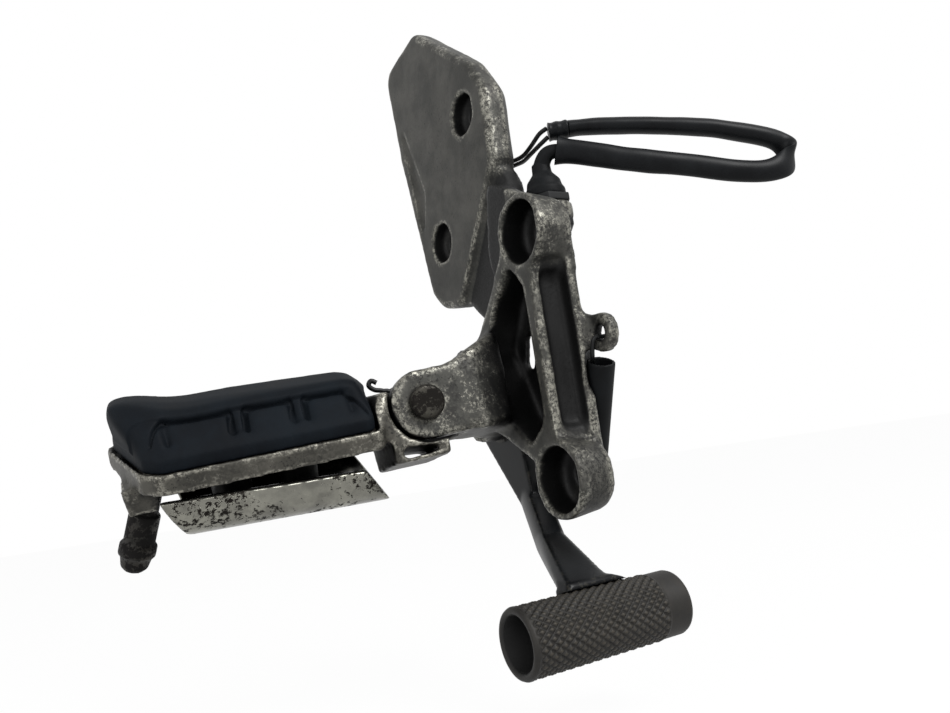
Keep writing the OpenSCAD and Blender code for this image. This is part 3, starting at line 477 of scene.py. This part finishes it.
def makeSwitchSpring():
    # straight leg down from the plunger, close coils, then a hook on the pedal's tab
    s = switchSpring
    a, b = np.array(s["top"]), np.array(s["bottom"])
    span = np.linalg.norm(b - a)
    z = (b - a) / span
    y = unit(np.cross(z, [0, 1.0, 0.2]))
    x = np.cross(y, z)
    start, stop = span - 30, span - 8
    coil = helix(s["radius"], 2 * np.pi * np.linspace(0, s["turns"], s["turns"] * 20 + 1), start, stop)
    top = splined([(0, 0, 1.5), (0, 0, start - 5), (1.2, -0.5, start - 2), tuple(coil[0])], 6)[:-1]
    low = splined([tuple(coil[-1]), (1.3, 0.9, stop + 2), (0.5, 0.4, stop + 4.6), (0, 0, span - 1.8)], 6)[1:]
    path = np.vstack([top, coil, low]) @ np.stack([x, y, z]) + a
    points, faces = swept(path, s["wire"], s["wire"], x * 0.02 + y + z * 0.01, s["sides"])
    keep("switch_spring_wire", points, faces, "plunger", "spring_steel", ["switch_spring"])


makePegSpring()
makeReturnSpring()
makeSwitchSpring()
print("springs made")

# lead of the switch: the sleeve's wall starts at the route's point mouthAt, narrow and tall are its half
# sizes there and at the taped end, and the fold lies the share foldAt of the way along
lead = dict(
    sleeve=[(-20.8, -9.7, 68.3), (-20.8, -9.7, 69.4), (-21.4, -7.6, 71), (-24.5, -4.6, 70.5), (-33, 1, 67.5),
            (-45, 8.2, 63), (-59.5, 15.9, 59), (-75.7, 24.3, 54), (-84.5, 29.1, 52.4), (-90.5, 32.4, 53.6),
            (-94.5, 32.6, 57.5), (-94, 30.4, 62.5), (-88.5, 27.6, 66), (-75, 21.1, 70.7), (-60.3, 13.3, 74.2),
            (-45.9, 5.5, 76.7), (-36.8, 0.6, 77.9), (-30, -3.2, 78.2)],
    tape=[(-29.8, -3.3, 78.2), (-27, -5, 78.2), (-24.3, -6.6, 78.1)],
    wires=[[(-23.8, -6.9, 78 + 1.6 * s), (-22.6, -10, 77 + 1.8 * s), (-22.4, -16, 75.6 + 1.2 * s),
            (-24, -24, 76 + s), (-25.6, -34, 78.4 + s), (-26, -43.8, 80 + 2 * s)] for s in (-1, 1)],
    stem=[(-20.8, -9.7, 63.5), (-20.8, -9.3, 66.5), (-21.8, -7.2, 69.6), (-24.2, -5.0, 70.4), (-28.5, -2.1, 69.2)],
    mouthAt=3, narrow=(2.9, 4.2), tall=(4.3, 2.8), sides=48, wall=0.55, wallRows=12,
    creaseSize=14, creaseDepth=0.16, inset=0.12, endFade=4, flare=0.16, flareLength=2.5,
    foldAt=0.5, foldLength=7.5, foldPinch=0.62, foldSpread=0.3,
    stemR=3.1, stemTaper=0.9, tapeHalf=(4.4, 3.2), tapeRidge=0.12, tapeInset=0.15, wire=0.8)


def makeSleeve():
    # an oval tube that flattens round its bend, with small creases across it
    s = lead
    path = splined(s["sleeve"][s["mouthAt"]:], 14)
    f = np.linspace(0, 1, len(path))
    sides, deep = s["sides"], s["wallRows"]
    a = np.arange(sides) * 2 * np.pi / sides
    dist = np.concatenate([[0], np.cumsum(np.linalg.norm(np.diff(path, axis=0), axis=1))])
    cell = np.stack([np.repeat(dist, sides), np.tile(5 * np.cos(a), len(path)),
                     np.tile(5 * np.sin(a), len(path))], 1) * [1, 0.6, 0.6]
    crease = waves(cell, s["creaseSize"], 21, 2).reshape(len(path), sides) * s["creaseDepth"]
    ends = smoothStep(0, s["endFade"], dist) * smoothStep(0, s["endFade"], dist[-1] - dist)
    crease = (crease - s["inset"]) * ends[:, None]
    # at its turn the empty sleeve is pressed flat into a fold
    fold = np.exp(-((dist - s["foldAt"] * dist[-1]) / s["foldLength"]) ** 2)[:, None]
    flare = 1 + s["flare"] * np.exp(-dist / s["flareLength"])[:, None]
    w, h = [(first + (last - first) * f)[:, None] + crease for first, last in (s["narrow"], s["tall"])]
    w, h = w * flare * (1 - s["foldPinch"] * fold), h * flare * (1 + s["foldSpread"] * fold)
    # from the taped end to the mouth, where the outer wall turns back and runs inwards as the inner one
    walk = np.vstack([path[::-1], path[1:deep]])
    w, h = [np.vstack([r[::-1], r[1:deep] - s["wall"]]) for r in (w, h)]
    along = np.gradient(path[::-1], axis=0)
    along = np.vstack([along, along[::-1][1:deep]])
    points, faces = gridMesh(rings(walk, along, (0, 0.2, 1.0), w, h, sides))
    keep("lead_sleeve_tube", points, faces, "bracket", "lead_vinyl", ["lead_sleeve"])


def makeLeadEnds():
    # the boot's stem inside the sleeve, the tape round its other end, and the wires that leave it
    s = lead
    stem = splined(s["stem"], 10)
    taper = np.linspace(s["stemR"], s["stemR"] - s["stemTaper"], len(stem))[:, None]
    points, faces = swept(stem, taper, taper, (0.2, 0.3, 1), 32)
    keep("boot_stem", points, faces, "bracket", "sleeve_rubber")
    tape = splined(s["tape"], 12)
    layers = s["tapeRidge"] * np.sin(np.linspace(0, 14, len(tape)))[:, None] - s["tapeInset"]
    points, faces = swept(tape, s["tapeHalf"][0] + layers, s["tapeHalf"][1] + layers, (0, 0.2, 1), 36)
    keep("lead_tape_wrap", points, faces, "bracket", "lead_vinyl", ["lead_tape"])
    for k, route in enumerate(s["wires"]):
        path = splined(route, 12)
        points, faces = swept(path, s["wire"], s["wire"], (1, 0, 0), 12)
        name = "lead_wire_" + "ab"[k]
        keep(name, points, faces, "bracket", "wire_vinyl", ["lead_wires"] if k == 0 else ())


makeSleeve()
makeLeadEnds()
print("lead made")


# openness of the surfaces
def addOpenness(cell=2.0, reach=26.0, ways=26):
    # share of directions out of the surface that a march through a grid of filled cells leaves free
    low = np.min([p["points"].min(0) for p in pieces.values()], 0) - 6
    high = np.max([p["points"].max(0) for p in pieces.values()], 0) + 6
    shape = np.ceil((high - low) / cell).astype(int) + 1
    filled = np.zeros(shape, bool)
    for p in pieces.values():
        index = ((p["points"] - low) / cell).astype(int)
        filled[tuple(index.T)] = True
    # directions spread evenly over a sphere, along a golden spiral
    k = np.arange(ways) + 0.5
    tilt, turn = np.arccos(1 - 2 * k / ways), np.pi * (1 + 5 ** 0.5) * k
    rays = np.stack([np.cos(turn) * np.sin(tilt), np.sin(turn) * np.sin(tilt), np.cos(tilt)], 1)
    for p in pieces.values():
        normals = normalsOf(p["points"], p["faces"])
        lifted = p["points"] + normals * cell * 0.9  # off the surface's own cells
        free, weight = np.zeros(len(normals)), np.zeros(len(normals))
        for ray in rays:
            lean = np.clip(normals @ ray, 0, 1)
            hit = np.zeros(len(normals), bool)
            for step in np.arange(cell * 2.2, reach, cell):
                index = np.clip(((lifted + ray * step - low) / cell).astype(int), 0, shape - 1)
                hit |= filled[tuple(index.T)]
            free += lean * ~hit
            weight += lean
        share = (free / np.maximum(weight, 1e-6))[:, None].repeat(3, 1)
        # a low share paints the alloys and steels darker, as shade in the hollows
        p["attributes"]["open"] = relaxed(share, edgesOf(p["faces"]), 4)[:, 0]


addOpenness()
print("openness worked out")


# materials
def linear(code):
    # an sRGB hex colour as linear values
    c = np.array([int(code[i:i + 2], 16) for i in (1, 3, 5)]) / 255
    return tuple(np.where(c <= 0.04045, c / 12.92, ((c + 0.055) / 1.055) ** 2.4)) + (1.0,)


def perMm(size):
    # scale of a pattern whose features are size mm apart, on Object coordinates in metres
    return 1000.0 / size


def addNode(tree, kind, settings=None, links=None, values=None):
    node = tree.nodes.new(kind)
    for key, value in (settings or {}).items():
        setattr(node, key, value)
    for key, value in (values or {}).items():
        node.inputs[key].default_value = value
    for key, source in (links or {}).items():
        tree.links.new(source, node.inputs[key])
    return node


def newMaterial(name):
    material = bpy.data.materials.new(name)
    material.use_nodes = True
    tree = material.node_tree
    tree.nodes.clear()
    return material, tree


def closeMaterial(tree, skin, rough, height, strength, reliefMm, values):
    # a principled shader with the relief as its bump
    bump = addNode(tree, "ShaderNodeBump", links={"Height": height},
                   values={"Strength": strength, "Distance": reliefMm * mm})
    shader = addNode(tree, "ShaderNodeBsdfPrincipled", values=values,
                     links={"Base Color": skin, "Roughness": rough, "Normal": bump.outputs[0]})
    addNode(tree, "ShaderNodeOutputMaterial", links={"Surface": shader.outputs[0]})


def noise(tree, sizeMm, detail, rough):
    place = addNode(tree, "ShaderNodeTexCoord").outputs["Object"]
    return addNode(tree, "ShaderNodeTexNoise", links={"Vector": place},
                   values={"Scale": perMm(sizeMm), "Detail": detail, "Roughness": rough}).outputs[0]


def ramp(tree, source, low, high, curve="SMOOTHSTEP"):
    # 0 below low and 1 above high
    return addNode(tree, "ShaderNodeMapRange", {"interpolation_type": curve}, {"Value": source},
                   {"From Min": low, "From Max": high}).outputs["Result"]


def fill(tree, node, inputs):
    # a constant is set on its socket, an output is linked to it
    for slot, value in inputs:
        if isinstance(value, (int, float, tuple)):
            node.inputs[slot].default_value = value
        else:
            tree.links.new(value, node.inputs[slot])


def math(tree, operation, a, b):
    node = addNode(tree, "ShaderNodeMath", {"operation": operation})
    fill(tree, node, ((0, a), (1, b)))
    return node.outputs[0]


def plus(tree, a, b):
    return math(tree, "ADD", a, b)


def minus(tree, a, b):
    return math(tree, "SUBTRACT", a, b)


def times(tree, a, b):
    return math(tree, "MULTIPLY", a, b)


def mixed(tree, share, a, b):
    node = addNode(tree, "ShaderNodeMix", {"data_type": "RGBA"})
    fill(tree, node, ((0, share), (6, a), (7, b)))  # the sockets of its colour mode
    return node.outputs[2]


def attribute(tree, name):
    return addNode(tree, "ShaderNodeAttribute", {"attribute_name": name}).outputs["Fac"]


def weatheredAlloy(name, spec):
    # sand-cast aluminium left to the weather: grey oxide, dark grime and painted shade in the hollows, pits
    # that show black, and bright rubbed metal on the edges
    material, tree = newMaterial(name)
    cloud = noise(tree, spec["cloudMm"], 5, 0.65)
    grain = noise(tree, spec["grainMm"], 3, 0.7)
    pits = noise(tree, spec["pitMm"], 4, 0.75)
    openness, edge, front = [attribute(tree, key) for key in ("open", "edge", "front")]
    skin = mixed(tree, ramp(tree, cloud, 0.35, 0.68), linear(spec["dark"]), linear(spec["pale"]))
    skin = mixed(tree, times(tree, ramp(tree, grain, 0.42, 0.7), 0.3), skin, linear(spec["grain"]))
    # pits crowd where a slow noise says so, and on the faces that met the road's spray
    forward = ramp(tree, front, 0.3, 0.85)
    crowd = ramp(tree, noise(tree, spec["patchMm"], 3, 0.6), 0.42, 0.66)
    crowd = times(tree, crowd, plus(tree, 0.45, times(tree, forward, 0.55)))
    # pale flecks in clusters, where the oxide has been knocked off
    cluster = ramp(tree, noise(tree, 8, 4, 0.7), 0.48, 0.6)
    fleck = times(tree, ramp(tree, noise(tree, 0.9, 3, 0.7), 0.52, 0.6), times(tree, forward, cluster))
    skin = mixed(tree, times(tree, fleck, spec["spray"]), skin, linear(spec["bright"]))
    # dark blotches of old dirt
    blotch = times(tree, ramp(tree, noise(tree, 7, 7, 0.8), 0.47, 0.57),
                   plus(tree, 0.12, times(tree, forward, 0.75)))
    skin = mixed(tree, times(tree, blotch, spec["blotch"]), skin, linear(spec["pit"]))
    low = minus(tree, 0.66, times(tree, crowd, 0.14))
    pit = times(tree, math(tree, "GREATER_THAN", pits, low), 0.85)
    skin = mixed(tree, pit, skin, linear(spec["pit"]))
    # metal that boots and rags have rubbed, in short stretches of the edges
    rubbed = times(tree, ramp(tree, edge, 0.12, 0.6), ramp(tree, noise(tree, 1.3, 4, 0.85), 0.44, 0.58))
    rubbed = times(tree, rubbed, ramp(tree, noise(tree, 11, 4, 0.7), 0.38, 0.56))
    skin = mixed(tree, times(tree, rubbed, spec["rub"]), skin, linear(spec["bright"]))
    # painted shade, with grime, where the surface is closed in and under the dark shade-and-oil mark, with a
    # ragged border
    bare = plus(tree, openness, times(tree, minus(tree, cloud, 0.5), 0.5))
    bare = plus(tree, bare, times(tree, minus(tree, pits, 0.5), 0.35))
    bare = minus(tree, bare, times(tree, attribute(tree, "oil"), 0.75))
    grimeAndShade = minus(tree, 1.0, ramp(tree, bare, spec["grimeLow"], spec["grimeHigh"]))
    skin = mixed(tree, grimeAndShade, skin, linear(spec["grime"]))
    rough = plus(tree, spec["rough"], times(tree, ramp(tree, grain, 0.2, 0.9, "LINEAR"), 0.22))
    rough = minus(tree, rough, times(tree, rubbed, 0.18))
    relief = minus(tree, times(tree, grain, 0.5), times(tree, pit, 0.7))
    closeMaterial(tree, skin, rough, relief, 0.55, spec["reliefMm"], {"Metallic": spec["metal"]})
    return material


def mouldedRubber(name, spec):
    # moulded nitrile rubber: black, faintly blue, dull, with dust on its open faces
    material, tree = newMaterial(name)
    cloud = noise(tree, spec["cloudMm"], 5, 0.7)
    fine = noise(tree, spec["grainMm"], 2, 0.5)
    skin = mixed(tree, ramp(tree, cloud, 0.3, 0.75), linear(spec["dark"]), linear(spec["pale"]))
    scuff = times(tree, ramp(tree, noise(tree, 1.6, 5, 0.8), 0.6, 0.74), ramp(tree, cloud, 0.45, 0.7))
    skin = mixed(tree, times(tree, scuff, spec["scuff"]), skin, linear(spec["dust"]))
    rough = plus(tree, spec["rough"], times(tree, cloud, 0.2))
    closeMaterial(tree, skin, rough, plus(tree, fine, times(tree, cloud, 0.8)), 0.3, 0.06,
                  {"IOR": 1.52, "Specular IOR Level": spec["gloss"]})
    return material


def corrodedSteel(name, spec):
    # steel with spots of rust: bare between them, dark and rough in them
    material, tree = newMaterial(name)
    spots = noise(tree, spec["spotMm"], 5, 0.8)
    patch = ramp(tree, noise(tree, spec["patchMm"], 2, 0.5), 0.4, 0.66)
    low = minus(tree, spec["spotAt"], times(tree, patch, spec["crowd"]))
    spot = ramp(tree, minus(tree, spots, low), 0.0, 0.03)
    cloud = noise(tree, 9, 4, 0.6)
    skin = mixed(tree, ramp(tree, cloud, 0.35, 0.7), linear(spec["dark"]), linear(spec["pale"]))
    skin = mixed(tree, spot, skin, linear(spec["rust"]))
    # painted shade with grime: the steel turns near black where the surface is closed in
    grimeAndShade = minus(tree, 1.0, ramp(tree, attribute(tree, "open"), 0.1, 0.5))
    skin = mixed(tree, grimeAndShade, skin, linear("#0d0d0c"))
    rough = plus(tree, spec["rough"], times(tree, spot, 0.4))
    relief = minus(tree, times(tree, noise(tree, 0.7, 2, 0.5), 0.15), spot)
    closeMaterial(tree, skin, rough, relief, 0.5, spec["reliefMm"], {"Metallic": spec["metal"]})
    return material


def knurledSteel(name, spec):
    # black-oxided steel: the knurl's points are rubbed brown, its grooves hold dirt, the bore is painted near
    # black as shade
    material, tree = newMaterial(name)
    cloud = noise(tree, 7, 5, 0.7)
    skin = mixed(tree, ramp(tree, cloud, 0.35, 0.7), linear(spec["dark"]), linear(spec["pale"]))
    rubbed = times(tree, ramp(tree, attribute(tree, "ridge"), 0.55, 0.95), 0.6)
    skin = mixed(tree, rubbed, skin, linear(spec["rubbed"]))
    # painted shade: the bore is made near black
    skin = mixed(tree, attribute(tree, "inside"), skin, linear("#060606"))
    rough = plus(tree, spec["rough"], times(tree, cloud, 0.2))
    closeMaterial(tree, skin, rough, noise(tree, 0.5, 3, 0.7), 0.4, 0.08, {"Metallic": spec["metal"]})
    return material


def wornPaint(name, spec):
    # stove-enamelled steel: smooth black with chips on the edges
    material, tree = newMaterial(name)
    cloud = noise(tree, 12, 4, 0.6)
    skin = mixed(tree, ramp(tree, cloud, 0.35, 0.7), linear(spec["dark"]), linear(spec["pale"]))
    chip = times(tree, ramp(tree, attribute(tree, "edge"), 0.3, 0.8),
                 ramp(tree, noise(tree, 1.8, 5, 0.8), 0.52, 0.6))
    skin = mixed(tree, times(tree, chip, spec["chips"]), skin, linear(spec["chip"]))
    rough = plus(tree, spec["rough"], times(tree, cloud, 0.15))
    closeMaterial(tree, skin, rough, noise(tree, 1.1, 3, 0.6), 0.35, 0.05,
                  {"IOR": 1.5, "Specular IOR Level": spec["gloss"]})
    return material


# the alloys' grime colour and its limits paint shade in the hollows together with grime
finishes = {
    "cast_alloy": (weatheredAlloy, dict(
        cloudMm=16, grainMm=0.9, pitMm=1.1, patchMm=24, dark="#2b2b28", pale="#454440", grain="#4f4e48",
        pit="#151413", bright="#8f8d83", grime="#070707", rub=0.75, spray=0.75, blotch=0.8,
        grimeLow=0.42, grimeHigh=0.86, rough=0.46, metal=0.6, reliefMm=0.2)),
    "peg_alloy": (weatheredAlloy, dict(
        cloudMm=12, grainMm=0.8, pitMm=0.9, patchMm=16, dark="#2e2d29", pale="#4b4943", grain="#54524b",
        pit="#171614", bright="#a09d92", grime="#080807", rub=0.6, spray=0.35, blotch=0.4,
        grimeLow=0.4, grimeHigh=0.8, rough=0.42, metal=0.65, reliefMm=0.15)),
    "pad_rubber": (mouldedRubber, dict(
        cloudMm=16, grainMm=0.6, dark="#0a0d11", pale="#10151a", dust="#37352f", scuff=0.3, rough=0.52,
        gloss=0.06)),
    "sleeve_rubber": (mouldedRubber, dict(
        cloudMm=9, grainMm=0.5, dark="#070809", pale="#0d0f11", dust="#2a2a28", scuff=0.2, rough=0.5,
        gloss=0.1)),
    "lead_vinyl": (mouldedRubber, dict(
        cloudMm=11, grainMm=1.0, dark="#08090b", pale="#111315", dust="#2c2c2b", scuff=0.2, rough=0.32,
        gloss=0.1)),
    "wire_vinyl": (mouldedRubber, dict(
        cloudMm=6, grainMm=0.7, dark="#08090a", pale="#101112", dust="#2a2a28", scuff=0.2, rough=0.35,
        gloss=0.18)),
    "switch_plastic": (mouldedRubber, dict(
        cloudMm=8, grainMm=0.6, dark="#0a0b0c", pale="#121314", dust="#302f2c", scuff=0.25, rough=0.45,
        gloss=0.18)),
    "bright_steel": (corrodedSteel, dict(
        spotMm=2.1, patchMm=20, spotAt=0.645, crowd=0.15, dark="#66655f", pale="#85847b", rust="#1d1a17",
        rough=0.24, metal=0.9, reliefMm=0.14)),
    "worn_steel": (corrodedSteel, dict(
        spotMm=1.2, patchMm=7, spotAt=0.56, crowd=0.16, dark="#24221e", pale="#34322c", rust="#14110e",
        rough=0.42, metal=0.75, reliefMm=0.1)),
    "rusted_steel": (corrodedSteel, dict(
        spotMm=1.6, patchMm=6, spotAt=0.52, crowd=0.16, dark="#191815", pale="#27241f", rust="#0e0c0b",
        rough=0.5, metal=0.6, reliefMm=0.2)),
    "spring_steel": (wornPaint, dict(
        dark="#08090a", pale="#101112", chips=0.4, chip="#45433c", rough=0.35, gloss=0.25)),
    "black_paint": (wornPaint, dict(
        dark="#08090b", pale="#0f1113", chips=0.5, chip="#3b3933", rough=0.25, gloss=0.14)),
    "dark_steel": (knurledSteel, dict(
        dark="#100e0b", pale="#1d1a15", rubbed="#38332a", rough=0.5, metal=0.35)),
    "brass_bush": (corrodedSteel, dict(
        spotMm=1.5, patchMm=6, spotAt=0.6, crowd=0.12, dark="#6e5a2c", pale="#8c7338", rust="#2b2212",
        rough=0.35, metal=0.9, reliefMm=0.08)),
}
materials = {slot: make("finish_" + slot, spec) for slot, (make, spec) in finishes.items()}
print("materials made")


# objects
def build(name, piece):
    mesh = bpy.data.meshes.new(name)
    faces = piece["faces"]
    points = piece["points"] * mm
    fans = faces[:, 2] == faces[:, 3]
    rows = faces[~fans].tolist() + faces[fans][:, :3].tolist()
    mesh.from_pydata(points.tolist(), [], rows)
    mesh.polygons.foreach_set("use_smooth", np.ones(len(mesh.polygons), bool))
    for key in ("open", "edge", "front", "oil", "ridge", "inside"):
        values = piece["attributes"].get(key)
        if values is None:
            values = np.zeros(len(points))
        mesh.attributes.new(key, "FLOAT", "POINT").data.foreach_set("value", values.astype(np.float32))
    mesh.materials.append(materials[piece["slot"]])
    mesh.update()
    obj = linked(name, mesh)
    if name in bends:
        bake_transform(obj)
    else:
        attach(obj, piece["body"])
    if len(piece["replaces"]):
        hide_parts(*piece["replaces"])
    return obj


objects = {name: build(name, piece) for name, piece in pieces.items()}
slots = {s["node"]: s["material_slot"] for s in frame["record"]["subparts"]}
for node, obj in frame["nodes"].items():
    for place in obj.material_slots:
        place.material = materials[slots[node]]
print("objects made:", len(objects))


# floor, light and sky: metres and watts
studio = dict(floorDrop=0.02, floorSize=6.0, sky=0.5, paperShare=0.96,
              lamps=dict(key_light=((-0.25, 0.75, 0.65), 11.0, 0.45), fill_light=((0.8, 0.35, 0.25), 3.0, 0.6)))


def seenRays(tree):
    # 1 for rays from the camera, a mirror or a window, 0 for those that only carry light
    rays = addNode(tree, "ShaderNodeLightPath").outputs
    behind = math(tree, "MAXIMUM", rays["Is Glossy Ray"], rays["Is Transmission Ray"])
    return math(tree, "MAXIMUM", rays["Is Camera Ray"], behind)


def makeFloor():
    # white paper that glows where it is seen, so that its border with the sky hardly shows
    low = cadBox[0][2] - studio["floorDrop"]
    size = studio["floorSize"]
    mesh = bpy.data.meshes.new("floor")
    mesh.from_pydata([(-size, -size, low), (size, -size, low), (size, size, low), (-size, size, low)], [],
                     [(0, 1, 2, 3)])
    floor = linked("floor", mesh)
    material, tree = newMaterial("floor_paper")
    matt = addNode(tree, "ShaderNodeBsdfDiffuse", values={"Color": linear("#f4f4f4")})
    glow = addNode(tree, "ShaderNodeEmission", values={"Color": (1, 1, 1, 1), "Strength": 1.0})
    share = times(tree, seenRays(tree), studio["paperShare"])
    mix = addNode(tree, "ShaderNodeMixShader", links={0: share, 1: matt.outputs[0], 2: glow.outputs[0]})
    addNode(tree, "ShaderNodeOutputMaterial", links={"Surface": mix.outputs[0]})
    mesh.materials.append(material)


def makeSky():
    world = bpy.data.worlds.new("sky")
    world.use_nodes = True
    tree = world.node_tree
    tree.nodes.clear()
    strength = plus(tree, times(tree, seenRays(tree), 1.0 - studio["sky"]), studio["sky"])
    sky = addNode(tree, "ShaderNodeBackground", values={"Color": (1, 1, 1, 1)}, links={"Strength": strength})
    addNode(tree, "ShaderNodeOutputWorld", links={"Surface": sky.outputs[0]})
    bpy.context.scene.world = world


def makeLamps():
    # area lamps that face the origin
    for name, (place, power, side) in studio["lamps"].items():
        lamp = bpy.data.lights.new(name, "AREA")
        lamp.energy, lamp.size = power, side
        back = unit(np.array(place))
        right = unit(np.cross([0, 0, 1.0], back))
        placed(linked(name, lamp), right, np.cross(back, right), back, place)


makeFloor()
makeSky()
makeLamps()
bpy.context.scene.view_settings.view_transform = "Standard"
print("studio made")
